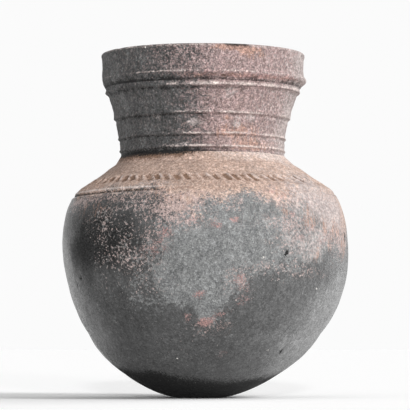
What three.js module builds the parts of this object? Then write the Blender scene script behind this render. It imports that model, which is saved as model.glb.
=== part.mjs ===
// A round-bottomed terracotta water jar with a cordoned, flaring neck and a collared rim.
// The potter makes it in seven sections of clay and lutes them together with slip before firing: a base
// bowl, three rings of belly wall, the shoulder, the thrown neck and the rim collar. Each section is its
// own solid.
// Millimetres, +Z up. The origin is on the rest plane, under the middle of the belly.
import * as THREE from "three";

// Heights of the outer face, each measured up from the one before it.
const bellyHeight = 134; // rest plane to the widest line
const shoulderEdgeRise = 49.4; // widest line to the corner of the shoulder
const shoulderRise = 28.1; // corner of the shoulder to the foot of the neck
const neckRise = 60; // foot of the neck to the crease under the collar
const collarRise = 30; // crease to the top of the lip

// Radii of the outer face.
const restFlatRadius = 18; // the spot worn flat under the round base
const bellyRadius = 125.5;
const shoulderEdgeRadius = 109.5;
const neckFootRadius = 72.1;
const neckTopRadius = 85.9;
const collarRadius = 89.2;

// How the outline bends between those places.
const baseSpreadLength = 29; // reach of the nearly level stretch round the worn spot
const baseSpreadAngle = 3.4; // degrees from level
const uprightBelowBelly = 92; // how far below the widest line the upright of the wall pulls the curve
const uprightAboveBelly = 25; // and how far above it
const shoulderTurnLength = 12.5; // reach of the bend below the corner of the shoulder
const shoulderTurnAngle = 40; // degrees from level, just below the corner
const shoulderSweepLength = 23.4; // reach of the bend above the corner
const shoulderSweepAngle = 29.5; // degrees from level, just above the corner
const neckUpright = 28; // how far above its foot the upright of the neck pulls its curve

// Thickness of the fired clay.
const floorThickness = 9;
const bodyWall = 6.5;
const shoulderWall = 7;
const neckWall = 7.5;
const lipWall = 8.3;

// The collar: a bevelled flange, an upright band and a lip that is thickened a little.
const flangeProud = 1.2; // flange past the band
const flangeRise = 6.8; // crease to the edge of the flange
const flangeEdge = 0.8; // blunt edge of the flange
const flangeTopDepth = 2.6; // edge of the flange back up to the band
const bandHollow = 0.35; // how much the middle of the band is drawn in
const lipProud = 0.7; // lip past the band
const lipDepth = 4.2; // how far the thickening comes down from the top
const lipRounding = 1.2;

// The joints. A ring's upper edge is bevelled and the next ring laps over it from outside,
// so the inner edge of each joint lies further up the wall than the outer edge.
const lapLength = 9;
const slipGap = 0.3; // the layer of slip between two rings
const baseJointHeight = 60;
const lowerBellyJointRise = 43; // base joint to the joint halfway up the belly
const upperBellyJointRise = 12; // widest line to the joint above it
const shoulderJointDrop = 10.1; // along the wall, below the corner of the shoulder

// The incised line below the corner of the shoulder, cut just above its joint.
const incisedLineDrop = 8.3; // along the wall, below the corner
const incisedLineWidth = 1.8;
const incisedLineDepth = 0.8;

// The cordons turned on the neck. Each has a small ledge above its edge and is undercut below it.
const topCordonDrop = 3; // crease down to the edge of the top cordon
const topCordon = { proud: 2, ledge: 2.6, undercut: 4.2, hollow: 0 };
const bandCordonRise = 33.4; // foot of the neck up to the edge of the broad cordon
const bandCordon = { proud: 1, ledge: 6.4, undercut: 2.6, hollow: 0.3 };
const smallCordonRises = [4.6, 15.6]; // foot of the neck up to the edges of the two fine cordons
const smallCordon = { proud: 1, ledge: 2, undercut: 2, hollow: 0.4 };

// Hand building: the neck was luted on a little to one side, and the base was beaten to that side too.
const neckShift = -2.8;
const neckShiftReach = 9; // how far down the shoulder the wall was pulled over with the neck
const baseShift = -4.5;
const baseShiftReach = 75; // height at which the belly is back in line

// Facets.
const segmentsRound = 56;
const stepsOf = { lowerBelly: 15, upperBelly: 9, shoulder: 6, neck: 7, collar: 3 };
const bandSteps = 4;
const shortestFacet = 0.3; // stations of the wall and of its relief that lie closer than this become one

const shoulderEdgeHeight = bellyHeight + shoulderEdgeRise;
const neckFootHeight = shoulderEdgeHeight + shoulderRise;
const creaseHeight = neckFootHeight + neckRise;
const lipHeight = creaseHeight + collarRise;

const point = (radius, height) => new THREE.Vector2(radius, height);
const reach = (length, degrees) =>
  point(length * Math.cos(THREE.MathUtils.degToRad(degrees)), length * Math.sin(THREE.MathUtils.degToRad(degrees)));

// The outline of the wall from the middle of the floor to the lip, without its ridges and grooves.
function wallCurves() {
  const shoulderEdge = point(shoulderEdgeRadius, shoulderEdgeHeight);
  const neckFoot = point(neckFootRadius, neckFootHeight);
  const crease = point(neckTopRadius, creaseHeight);
  const turn = reach(shoulderTurnLength, -shoulderTurnAngle).add(shoulderEdge);
  const sweep = reach(shoulderSweepLength, 180 - shoulderSweepAngle).add(shoulderEdge);
  const restEdge = point(restFlatRadius, 0);
  const baseSpread = reach(baseSpreadLength, baseSpreadAngle).add(restEdge);
  return {
    rest: new THREE.LineCurve(point(0, 0), restEdge),
    lowerBelly: new THREE.CubicBezierCurve(
      restEdge,
      baseSpread,
      point(bellyRadius, bellyHeight - uprightBelowBelly),
      point(bellyRadius, bellyHeight),
    ),
    upperBelly: new THREE.CubicBezierCurve(
      point(bellyRadius, bellyHeight),
      point(bellyRadius, bellyHeight + uprightAboveBelly),
      turn,
      shoulderEdge,
    ),
    shoulder: new THREE.QuadraticBezierCurve(shoulderEdge, sweep, neckFoot),
    neck: new THREE.QuadraticBezierCurve(neckFoot, point(neckFootRadius, neckFootHeight + neckUpright), crease),
    collar: new THREE.LineCurve(crease, point(collarRadius + lipProud, lipHeight)),
  };
}

// Stations along the wall. Each has its run, the distance along the outer face from the middle of the
// floor, and its outer and inner points.
function wallStations() {
  const curves = wallCurves();
  const stretches = [
    { curve: curves.rest, steps: 1, walls: [floorThickness, floorThickness] },
    { curve: curves.lowerBelly, steps: stepsOf.lowerBelly, walls: [floorThickness, bodyWall] },
    { curve: curves.upperBelly, steps: stepsOf.upperBelly, walls: [bodyWall, shoulderWall] },
    { curve: curves.shoulder, steps: stepsOf.shoulder, walls: [shoulderWall, neckWall] },
    { curve: curves.neck, steps: stepsOf.neck, walls: [neckWall, neckWall] },
    { curve: curves.collar, steps: stepsOf.collar, walls: [neckWall, lipWall] },
  ];
  const stations = [{ run: 0, outer: point(0, 0), wall: floorThickness }];
  for (const { curve, steps, walls } of stretches) {
    for (let step = 1; step <= steps; step += 1) {
      const outer = curve.getPointAt(step / steps);
      const last = stations[stations.length - 1];
      const wall = THREE.MathUtils.lerp(walls[0], walls[1], step / steps);
      stations.push({ run: last.run + outer.distanceTo(last.outer), outer, wall });
    }
  }
  stations.forEach((station, index) => {
    const before = stations[Math.max(index - 1, 0)].outer;
    const after = stations[Math.min(index + 1, stations.length - 1)].outer;
    const way = after.clone().sub(before).normalize();
    station.normal = index === 0 ? point(0, -1) : point(way.y, -way.x);
    station.inner = station.outer.clone().addScaledVector(station.normal, -station.wall);
  });
  return stations;
}

const stations = wallStations();
const wallEnd = stations[stations.length - 1].run;

// The outer point, inner point and outward normal of the wall at one run.
function wallAt(run) {
  const after = Math.max(1, stations.findIndex((station) => station.run >= Math.min(run, wallEnd)));
  const [a, b] = [stations[after - 1], stations[after]];
  const share = (run - a.run) / (b.run - a.run);
  return {
    outer: a.outer.clone().lerp(b.outer, share),
    inner: a.inner.clone().lerp(b.inner, share),
    normal: a.normal.clone().lerp(b.normal, share).normalize(),
  };
}

// The run at which the outer face reaches a height.
function runAtHeight(height) {
  const after = stations.findIndex((station) => station.outer.y >= height && station.run > 0);
  const [a, b] = [stations[after - 1], stations[after]];
  return a.run + ((b.run - a.run) * (height - a.outer.y)) / (b.outer.y - a.outer.y);
}

const runs = {
  baseJoint: runAtHeight(baseJointHeight),
  lowerBellyJoint: runAtHeight(baseJointHeight + lowerBellyJointRise),
  upperBellyJoint: runAtHeight(bellyHeight + upperBellyJointRise),
  shoulderEdge: runAtHeight(shoulderEdgeHeight),
  neckJoint: runAtHeight(neckFootHeight),
  collarJoint: runAtHeight(creaseHeight),
};
runs.shoulderJoint = runs.shoulderEdge - shoulderJointDrop;

// Ridges and grooves as pairs of a run and how far the face stands proud of the smooth wall there.
function cordonRelief(edgeRun, { proud, ledge, undercut, hollow }) {
  return [
    [edgeRun - 2 * undercut, 0],
    [edgeRun - undercut, -hollow],
    [edgeRun, proud],
    [edgeRun + ledge, 0],
  ];
}

function faceRelief() {
  const line = runs.shoulderEdge - incisedLineDrop;
  const relief = [
    [line - incisedLineWidth / 2, 0],
    [line, -incisedLineDepth],
    [line + incisedLineWidth / 2, 0],
  ];
  for (const rise of smallCordonRises) {
    relief.push(...cordonRelief(runAtHeight(neckFootHeight + rise), smallCordon));
  }
  relief.push(...cordonRelief(runAtHeight(neckFootHeight + bandCordonRise), bandCordon));
  relief.push(...cordonRelief(runAtHeight(creaseHeight - topCordonDrop), topCordon));
  return relief.sort((a, b) => a[0] - b[0]);
}

const relief = faceRelief();

function reliefAt(run) {
  const after = relief.findIndex((pair) => pair[0] >= run);
  if (after < 1) {
    return 0;
  }
  const [[runA, proudA], [runB, proudB]] = [relief[after - 1], relief[after]];
  return THREE.MathUtils.mapLinear(run, runA, runB, proudA, proudB);
}

// Points of the outer face between two runs, with its ridges and grooves.
function outerFace(from, to) {
  const inside = [...stations.map((station) => station.run), ...relief.map((pair) => pair[0])].filter(
    (run) => run > from && run < to,
  );
  const spread = [from, ...inside.sort((a, b) => a - b), to].filter(
    (run, index, all) => index === 0 || index === all.length - 1 || run - all[index - 1] > shortestFacet,
  );
  return spread.map((run) => {
    const { outer, normal } = wallAt(run);
    return outer.addScaledVector(normal, reliefAt(run));
  });
}

// Points of the inner face between two runs.
function innerFace(from, to) {
  const inside = stations.filter((station) => station.run > from && station.run < to);
  return [wallAt(from).inner, ...inside.map((station) => station.inner.clone()), wallAt(to).inner];
}

// Points of the collar's outer face, from the crease up over the lip to its inner edge.
function collarFace() {
  const lipRadius = collarRadius + lipProud;
  const innerLip = wallAt(wallEnd).inner.x;
  const bandFoot = flangeRise + flangeEdge + flangeTopDepth;
  const bandTop = collarRise - lipDepth;
  const band = [];
  for (let step = 0; step <= bandSteps; step += 1) {
    const share = step / bandSteps;
    const hollow = bandHollow * Math.sin(Math.PI * share);
    band.push(point(collarRadius - hollow, creaseHeight + THREE.MathUtils.lerp(bandFoot, bandTop, share)));
  }
  return [
    wallAt(runs.collarJoint + slipGap / 2).outer,
    point(collarRadius + flangeProud, creaseHeight + flangeRise),
    point(collarRadius + flangeProud, creaseHeight + flangeRise + flangeEdge),
    ...band,
    point(lipRadius, lipHeight - lipRounding),
    point(lipRadius - lipRounding, lipHeight),
    point(innerLip + lipRounding, lipHeight),
    point(innerLip, lipHeight - lipRounding),
  ];
}

// The sideways shift of a ring of clay at one height, the same for every section that meets there.
function shiftAt(height) {
  const toNeck = THREE.MathUtils.smoothstep(height, neckFootHeight - neckShiftReach, neckFootHeight);
  const toBase = 1 - THREE.MathUtils.smoothstep(height, 0, baseShiftReach);
  return neckShift * toNeck + baseShift * toBase;
}

// Turns a profile round the jar's axis and shifts it as it was built by hand.
function turned(profile) {
  const geometry = new THREE.LatheGeometry(profile, segmentsRound).rotateX(Math.PI / 2);
  const places = geometry.getAttribute("position");
  for (let index = 0; index < places.count; index += 1) {
    places.setX(index, places.getX(index) + shiftAt(places.getZ(index)));
  }
  geometry.computeVertexNormals();
  return geometry;
}

// A ring of clay between two joints.
function ringProfile(from, to) {
  const [foot, head] = [from + slipGap / 2, to - slipGap / 2];
  const outer = outerFace(foot, head);
  const inner = innerFace(foot + lapLength, head + lapLength).reverse();
  return [...outer, ...inner, outer[0].clone()];
}

function baseProfile() {
  const head = runs.baseJoint - slipGap / 2;
  return [...outerFace(0, head), ...innerFace(0, head + lapLength).reverse()];
}

function collarProfile() {
  const outer = collarFace();
  const innerFoot = runs.collarJoint + slipGap / 2 + lapLength;
  const inner = innerFace(innerFoot, wallEnd).reverse().slice(1);
  return [...outer, ...inner, outer[0].clone()];
}

const fired = (color, roughness) => new THREE.MeshStandardMaterial({ color, roughness, metalness: 0 });
const burnishedBlack = fired(0x4c4b4b, 0.5);
const burnishedGrey = fired(0x6b6868, 0.6);
const ashGrey = fired(0x857f7d, 0.8);
const tanSlip = fired(0xb5968a, 0.85);
const smokedNeck = fired(0x7d7271, 0.85);
const smokedCollar = fired(0x8b8180, 0.85);

const jar = new THREE.Group();

function addSection(name, profile, material) {
  const mesh = new THREE.Mesh(turned(profile), material);
  mesh.name = name;
  jar.add(mesh);
}

addSection("base_bowl", baseProfile(), burnishedBlack);
addSection("lower_belly_ring", ringProfile(runs.baseJoint, runs.lowerBellyJoint), burnishedBlack);
addSection("middle_belly_ring", ringProfile(runs.lowerBellyJoint, runs.upperBellyJoint), burnishedGrey);
addSection("upper_belly_ring", ringProfile(runs.upperBellyJoint, runs.shoulderJoint), ashGrey);
addSection("shoulder_ring", ringProfile(runs.shoulderJoint, runs.neckJoint), tanSlip);
addSection("neck", ringProfile(runs.neckJoint, runs.collarJoint), smokedNeck);
addSection("rim_collar", collarProfile(), smokedCollar);

export default jar;
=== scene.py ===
"""Finishes the fired-clay jar: its seven luted sections as modelled pieces, their clay, and a plain stage.

The jar was built by hand from a base bowl, three belly rings, a shoulder, a thrown neck and a rim collar. It
was then beaten round, burnished, marked with a stick and fired in smoke and ash. Lengths are in metres.
"""

import itertools
import math

import bpy
import numpy as np
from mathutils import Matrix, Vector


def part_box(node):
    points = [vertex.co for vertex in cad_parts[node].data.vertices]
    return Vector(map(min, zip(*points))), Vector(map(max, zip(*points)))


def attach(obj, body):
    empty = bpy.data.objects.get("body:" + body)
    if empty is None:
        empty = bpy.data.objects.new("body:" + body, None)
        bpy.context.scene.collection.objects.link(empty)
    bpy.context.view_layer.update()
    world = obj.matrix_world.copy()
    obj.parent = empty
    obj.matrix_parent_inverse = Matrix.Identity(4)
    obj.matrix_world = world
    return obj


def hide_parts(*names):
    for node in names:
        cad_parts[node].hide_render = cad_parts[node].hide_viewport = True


bl_info = {
    "name": "Terracotta Jar",
    "version": (1, 0, 0),
    "blender": (4, 5, 0),
    "location": "View3D > Sidebar > Jar",
    "description": "Models the sections of a round-bottomed terracotta jar and gives them their fired clay",
    "category": "Add Mesh",
}

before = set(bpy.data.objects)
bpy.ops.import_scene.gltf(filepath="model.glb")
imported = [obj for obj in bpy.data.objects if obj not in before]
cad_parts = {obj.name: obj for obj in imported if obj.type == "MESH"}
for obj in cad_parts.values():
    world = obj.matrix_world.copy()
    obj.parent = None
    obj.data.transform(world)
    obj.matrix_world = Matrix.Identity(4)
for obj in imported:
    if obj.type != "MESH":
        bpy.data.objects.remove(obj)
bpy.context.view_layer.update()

MM = 0.001
FULL_TURN = 2 * math.pi
OUTER, INNER = 0.0, 1.0  # depth in the wall


def linear(hex_colour):
    """The linear red, green and blue of an sRGB hex colour."""
    parts = [int(hex_colour[start : start + 2], 16) / 255 for start in (0, 2, 4)]
    return tuple(part / 12.92 if part <= 0.04045 else ((part + 0.055) / 1.055) ** 2.4 for part in parts)


def length(name, description, millimetres):
    default = millimetres * MM
    return bpy.props.FloatProperty(name=name, description=description, default=default, unit="LENGTH")


def number(name, description, default):
    return bpy.props.FloatProperty(name=name, description=description, default=default)


def colour(name, description, hex_colour):
    return bpy.props.FloatVectorProperty(
        name=name, description=description, default=linear(hex_colour), subtype="COLOR", size=3, min=0, max=1
    )


class JarOutline(bpy.types.PropertyGroup):
    """The outline of the wall and where its sections meet. Heights are above the rest plane."""

    height: length("Height", "Rest plane to the top of the lip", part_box("rim_collar")[1].z / MM)
    belly_radius: length("Belly radius", "Radius at the widest line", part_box("middle_belly_ring")[1].x / MM)
    belly_height: length("Belly height", "Height of the widest line", 134)
    rest_radius: length("Rest radius", "Radius of the spot worn flat under the base", 18)
    base_spread: length("Base spread", "Reach of the nearly level stretch round the worn spot", 29)
    base_rise: length("Base rise", "How far that stretch rises", 1.7)
    below_belly: length("Below belly", "How far below the widest line its upright pulls the curve", 92)
    above_belly: length("Above belly", "How far above the widest line its upright pulls the curve", 25)
    edge_height: length("Shoulder edge height", "Height of the corner of the shoulder", 183.4)
    edge_radius: length("Shoulder edge radius", "Radius of the corner of the shoulder", 109.5)
    neck_foot_height: length("Neck foot height", "Height of the foot of the neck", 211.5)
    neck_foot_radius: length("Neck foot radius", "Radius of the foot of the neck", 72.1)
    crease_height: length("Crease height", "Height of the crease under the collar", 271.5)
    crease_radius: length("Crease radius", "Radius of the crease under the collar", 85.9)
    collar_radius: length("Collar radius", "Radius of the collar's band", 89.2)
    line_drop: length("Line drop", "Corner of the shoulder down the wall to the line incised round it", 8.3)
    base_joint: length("Base joint", "Height at which the bowl ends", 60)
    lower_joint: length("Lower joint", "Height at which the lower belly ring ends", 103)
    upper_joint: length("Upper joint", "Height at which the middle belly ring ends", 146)
    shoulder_joint_drop: length("Shoulder joint drop", "Corner of the shoulder down to its joint", 10.1)
    lap: length("Lap", "How much further up the wall the inner edge of a joint lies", 9)
    floor_wall: length("Floor", "Thickness of the floor", 9)
    body_wall: length("Body wall", "Thickness of the belly", 6.5)
    shoulder_wall: length("Shoulder wall", "Thickness of the shoulder", 7)
    neck_wall: length("Neck wall", "Thickness of the neck", 7.5)
    lip_wall: length("Lip wall", "Thickness of the lip", 8.3)


class JarRelief(bpy.types.PropertyGroup):
    """What the potter's hands and tools left on the wall."""

    stroke_pitch: length("Stroke pitch", "Pitch of the strokes pressed into the shoulder", 8.5)
    stroke_long: length("Stroke length", "Length of one stroke", 12.5)
    stroke_wide: length("Stroke width", "Width of one stroke", 6.2)
    stroke_deep: length("Stroke depth", "Depth of one stroke", 0.9)
    stroke_slant: number("Stroke slant", "Degrees that a stroke leans from the slope of the shoulder", 30)
    stroke_rise: length("Stroke rise", "Corner of the shoulder up the wall to the middle of the strokes", 8.5)
    line_deep: length("Line depth", "Depth of the line incised round the shoulder", 1.0)
    line_wide: length("Line width", "Width of that line", 2.6)
    uneven: length("Unevenness", "How far the hand-beaten wall wanders in or out", 0.5)
    paddle_flat: length("Paddle flat", "How far the paddle's flats cut into the round", 0.45)


class JarClay(bpy.types.PropertyGroup):
    """Colours of the fired clay and of what the fire left on it. The soot, dirt and crest colours also serve
    for painted shade and painted highlights.
    """

    charcoal: colour("Charcoal", "Burnished clay blackened by smoke", "4d4d4d")
    # Soot under the base, and painted shade: under the bottom, in the grooves, under the ridges of the neck
    # and under the flange.
    soot_and_shade: colour("Soot", "Soot on the underside and in hollows", "101010")
    ash: colour("Ash", "Pale ash bloom", "8e8f8e")
    ash_shade: colour("Ash shade", "Thin ash over dark clay", "5c5d5e")
    ash_pale: colour("Pale ash", "Film of ash over bare clay", "aca29f")
    tan: colour("Tan", "Bare clay where the smoke has burnt off", "c5aea1")
    tan_shade: colour("Tan shade", "The same clay with grime in its pores", "8d7263")
    buff: colour("Buff", "Bare clay of the belly, a little smoked", "bfa99d")
    buff_shade: colour("Buff shade", "The same clay with grime in its pores", "9c8478")
    rose: colour("Rose", "Worn clay showing through the smoked skin", "ab9792")
    ember: colour("Ember", "Well-fired red clay in chips", "b08984")
    rust: colour("Rust", "Orange-brown stain that ran down the wall", "a68373")
    # Crest is pale worn clay and also painted highlight along the ridges, on the lips and at the lit top
    # right of the shoulder.
    crest: colour("Crest", "Clay rubbed pale along the ridges", "cbbdb7")
    lime: colour("Lime", "White grit", "ebe7e0")
    # Dirt is laid in the strokes, the incised line and at the foot of the neck on the left, as dirt and
    # painted shade.
    dirt_and_shade: colour("Dirt", "Brown dirt in the hollows of the shoulder", "6f5442")
    mauve: colour("Mauve", "Half-smoked clay of the neck and collar", "ad9a97")
    mauve_shade: colour("Mauve shade", "The same clay with grime in its pores", "674d4d")
    inside: colour("Inside", "The unburnished clay inside", "7a6257")


SENSOR_WIDTH = 36  # millimetres


class JarStage(bpy.types.PropertyGroup):
    """Camera, lamps and floor."""

    camera_distance: length("Camera distance", "From the jar's axis", 2233)
    camera_height: length("Camera height", "Above the floor", 45.3)
    camera_aside: length("Camera aside", "To the right of the jar's axis", -0.62)
    camera_pitch: number("Camera pitch", "Degrees above level", 3.181)
    camera_lens: number("Lens", "Focal length in millimetres on a sensor 36 mm wide", 222.8)
    backdrop: colour("Backdrop", "What the camera sees behind the jar", "fbfbfb")
    floor: colour("Floor", "The floor's own colour", "f1f1f1")
    floor_lift: number("Floor lift", "How much paler than its own colour the camera sees the floor", 1.2)


def bezier(*controls, steps=200):
    """Points along a Bezier curve, found by drawing its control points together."""
    share = np.linspace(0, 1, steps + 1)[:, None]
    layer = [np.tile(np.array(control, float), (steps + 1, 1)) for control in controls]
    while len(layer) > 1:
        layer = [a + (b - a) * share for a, b in zip(layer[:-1], layer[1:])]
    return layer[0]


def smoothstep(value, low, high):
    share = np.clip((value - low) / (high - low), 0, 1)
    return share * share * (3 - 2 * share)


def bump(distance, width):
    """1 at no distance, falling smoothly away over the width."""
    return np.exp(-((distance / width) ** 2))


def towards_left(turn, begin, full):
    """1 on the left of the jar and 0 on its right, passing over between two turns in front, given in degrees,
    and slowly behind."""
    in_front = 1 - smoothstep(turn, math.radians(begin), math.radians(full))
    behind = smoothstep(np.abs(turn), math.radians(110), math.radians(178))
    return in_front * (1 - behind) + 0.5 * behind


def run_along(points):
    """How far along a line each of its points lies."""
    return np.concatenate([[0], np.cumsum(np.linalg.norm(np.diff(points, axis=0), axis=1))])


def along_line(at, run, points):
    """The places at these distances along a line whose points lie at these runs."""
    return np.stack([np.interp(at, run, points[:, axis]) for axis in (0, 1)], -1)


def outer_normals(way):
    """Unit normals on the outer side of a line that goes this way."""
    return np.stack([way[:, 1], -way[:, 0]], 1) / np.linalg.norm(way, axis=1)[:, None]


class Wall:
    """The wall as drawn. A place in it is a run, the distance along the outer face from the middle of the
    floor, and a depth, 0 on the outer face and 1 on the inner one."""

    SHOULDER_BEND = (12.5 * MM, 40)  # reach and degrees of the turn just below the corner
    SHOULDER_SWEEP = (23.4 * MM, 29.5)  # and just above it
    NECK_PULL = 28 * MM

    def __init__(self):
        o = self.outline = bpy.context.scene.jar_outline
        rest = np.array([o.rest_radius, 0])
        belly = np.array([o.belly_radius, o.belly_height])
        edge = np.array([o.edge_radius, o.edge_height])
        foot = np.array([o.neck_foot_radius, o.neck_foot_height])
        crease = np.array([o.crease_radius, o.crease_height])
        up = np.array([0, 1])
        bend, sweep = self.reach(*self.SHOULDER_BEND), self.reach(*self.SHOULDER_SWEEP)
        curves = [
            bezier((0, 0), rest),
            bezier(rest, rest + (o.base_spread, o.base_rise), belly - o.below_belly * up, belly),
            bezier(belly, belly + o.above_belly * up, edge + bend * (1, -1), edge),
            bezier(edge, edge + sweep * (-1, 1), foot),
            bezier(foot, foot + self.NECK_PULL * up, crease),
            bezier(crease, (o.collar_radius, o.height)),
        ]
        self.face = np.vstack([curves[0]] + [curve[1:] for curve in curves[1:]])
        self.run = run_along(self.face)
        self.normal = outer_normals(np.gradient(self.face, self.run, axis=0))
        ends = [self.run_at(end) for end in (rest, belly, edge, foot, crease)] + [self.run[-1]]
        walls = [o.floor_wall, o.body_wall, o.shoulder_wall, o.neck_wall, o.neck_wall, o.lip_wall]
        self.thickness = np.interp(self.run, ends, walls)
        self.joints = Joints(self)

    @staticmethod
    def reach(distance, degrees):
        return distance * np.array([math.cos(math.radians(degrees)), math.sin(math.radians(degrees))])

    def run_at(self, place):
        """The run of the point of the face nearest to a place."""
        return self.run[np.argmin(np.linalg.norm(self.face - place, axis=1))]

    def run_at_height(self, height):
        return float(np.interp(height, self.face[:, 1], self.run))

    def normal_at(self, run):
        return along_line(run, self.run, self.normal)

    def place(self, run, depth):
        """Radius and height at a run and a depth."""
        inwards = np.interp(run, self.run, self.thickness) * depth
        return along_line(run, self.run, self.face) - self.normal_at(run) * inwards[..., None]


class Joints:
    """The runs at which the sections meet."""

    def __init__(self, wall):
        self.base = wall.run_at_height(wall.outline.base_joint)
        self.lower = wall.run_at_height(wall.outline.lower_joint)
        self.upper = wall.run_at_height(wall.outline.upper_joint)
        self.edge = wall.run_at_height(wall.outline.edge_height)
        self.shoulder = self.edge - wall.outline.shoulder_joint_drop
        self.neck = wall.run_at_height(wall.outline.neck_foot_height)
        self.collar = wall.run_at_height(wall.outline.crease_height)


def drift(points, size, seed):
    """Smooth noise from -1 to 1 with bumps of about the given size, which may differ by axis."""
    cells = 32
    table = np.random.default_rng(seed).uniform(-1, 1, (cells, cells, cells))
    place = points / np.array(size) + cells / 2
    cell = np.floor(place).astype(int)
    share = place - cell
    share = share * share * (3 - 2 * share)
    total = np.zeros(len(points))
    for corner in itertools.product((0, 1), repeat=3):
        weight = np.prod(np.where(corner, share, 1 - share), axis=1)
        x, y, z = ((cell + corner) % cells).T
        total += weight * table[x, y, z]
    return total


SWAY = [  # height in mm, and how far the axis stands to the right there
    (0, -5.4),
    (16, -4.4),
    (32, -2.6),
    (50, -1.3),
    (62, -0.3),
    (80, 0.5),
    (105, 0.5),
    (134, -0.6),
    (165, -0.9),
    (185, 0.0),
    (198, 0.0),
    (206, -0.9),
    (212, -3.0),
    (218, -2.9),
    (233, -3.6),
    (255, -2.8),
    (271, -2.6),
    (302, -2.4),
]
SWELL = [  # height in mm, and how far the hand-beaten wall stands out from the drawn one there
    (0, 0),
    (20, 0),
    (36, 0.8),
    (46, 0.3),
    (56, -0.9),
    (66, -0.1),
    (100, 0.1),
    (200, 0),
    (205, -1.1),
    (211, 0),
]


def sway(height):
    """Sideways shift of the axis: the neck was luted on to one side and the base beaten that way too."""
    heights, shifts = np.array(SWAY, float).T * MM
    fine = np.linspace(heights[0], heights[-1], 300)
    drawn = np.interp(fine, heights, shifts)
    reach = 8  # how many of these points to each side the corners are rounded over
    kernel = np.hanning(2 * reach + 1)
    padded = np.pad(drawn, reach, mode="edge")
    return np.interp(height, fine, np.convolve(padded, kernel / kernel.sum(), mode="valid"))


def swell(height):
    heights, amounts = np.array(SWELL, float).T * MM
    return np.interp(height, heights, amounts)


def only_selected(piece):
    bpy.ops.object.select_all(action="DESELECT")
    piece.select_set(True)
    bpy.context.view_layer.objects.active = piece


def draw_outline(name, points):
    """Draws an outline of radius and height in the XZ plane, one vertex extruded after another, and numbers
    its points."""
    bpy.ops.object.select_all(action="DESELECT")
    bpy.ops.mesh.primitive_plane_add(size=MM)
    piece = bpy.context.active_object
    piece.name = piece.data.name = name
    bpy.ops.object.mode_set(mode="EDIT")
    bpy.ops.mesh.merge(type="CENTER")
    bpy.ops.transform.translate(value=(points[0][0], 0, points[0][1]))
    for before, after in zip(points[:-1], points[1:]):
        step = (after[0] - before[0], 0, after[1] - before[1])
        bpy.ops.mesh.extrude_vertices_move(TRANSFORM_OT_translate={"value": step})
    bpy.ops.mesh.select_all(action="SELECT")
    bpy.ops.mesh.remove_doubles(threshold=0.01 * MM)
    bpy.ops.object.mode_set(mode="OBJECT")
    station = piece.data.attributes.new("station", "FLOAT", "POINT")
    station.data.foreach_set("value", np.arange(len(piece.data.vertices), dtype=np.float32))
    return piece


def spin_outline(piece, segments):
    """Spins the drawn outline once round the jar's axis, as on a wheel, and closes it."""
    only_selected(piece)
    bpy.ops.object.modifier_add(type="SCREW")
    spin = piece.modifiers[-1]
    spin.angle = FULL_TURN
    spin.steps = spin.render_steps = segments
    spin.use_merge_vertices = True
    spin.merge_threshold = 0.005 * MM
    bpy.ops.object.modifier_apply(modifier=spin.name)
    bpy.ops.object.mode_set(mode="EDIT")
    bpy.ops.mesh.select_all(action="SELECT")
    bpy.ops.mesh.normals_make_consistent(inside=False)
    bpy.ops.object.mode_set(mode="OBJECT")
    return piece


class Surface:
    """The vertices of one spun piece: each one's station on the drawn outline, and how far round it is."""

    def __init__(self, piece):
        self.piece = piece
        self.mesh = piece.data
        count = len(self.mesh.vertices)
        flat = np.zeros(count * 3, np.float32)
        self.mesh.vertices.foreach_get("co", flat)
        x, y, _ = flat.reshape(-1, 3).astype(float).T
        self.turn = np.arctan2(x, -y)  # 0 in front, growing to the right
        drawn = np.zeros(count, np.float32)
        self.mesh.attributes["station"].data.foreach_get("value", drawn)
        self.mesh.attributes.remove(self.mesh.attributes["station"])
        self.station = np.rint(drawn).astype(int)

    def place(self, radius, height):
        """Points of the jar at these radii and heights, before it sways."""
        return np.stack([radius * np.sin(self.turn), -radius * np.cos(self.turn), height], 1)

    def write(self, points, marks):
        """Moves the vertices to their points, as they sway, and paints the named marks on them."""
        points = points.copy()
        points[:, 0] += sway(points[:, 2])
        self.mesh.vertices.foreach_set("co", points.astype(np.float32).ravel())
        for name, values in marks.items():
            attribute = self.mesh.attributes.new(name, "FLOAT", "POINT")
            attribute.data.foreach_set("value", np.clip(values, 0, 1).astype(np.float32))
        self.mesh.update()


class Section(Surface):
    """The surface of a section drawn by its stations in the wall. It also has each vertex's run and depth
    there, and the point of the drawn outer face over it, with its height."""

    def __init__(self, name, wall, stations, segments):
        runs, depths = stations
        drawn = wall.place(runs, depths)
        drawn[:, 0] = np.maximum(drawn[:, 0], 0)
        super().__init__(spin_outline(draw_outline(name, drawn), segments))
        self.wall = wall
        self.run = runs[self.station]
        self.depth = depths[self.station]
        radius, self.height = wall.place(self.run, OUTER).T
        self.points = self.place(radius, self.height)

    def shape(self, relief, marks):
        """Moves the outer face out by its relief, and the wall under it less the deeper it is."""
        marks["inside"] = self.depth
        radius, height = self.wall.place(self.run, self.depth).T
        out, rise = self.wall.normal_at(self.run).T
        lift = relief * (1 - self.depth)
        self.write(self.place(np.maximum(radius + out * lift, 0), height + rise * lift), marks)


SHARP_FROM = math.radians(32)  # an edge that turns by more than this shows as an edge


def finish_piece(piece, node, material):
    """Shades a piece, gives it its clay and puts it in the place of its section."""
    only_selected(piece)
    bpy.ops.object.shade_smooth_by_angle(angle=SHARP_FROM)
    piece.data.materials.clear()
    piece.data.materials.append(material)
    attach(piece, "root")
    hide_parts(node)
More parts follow.
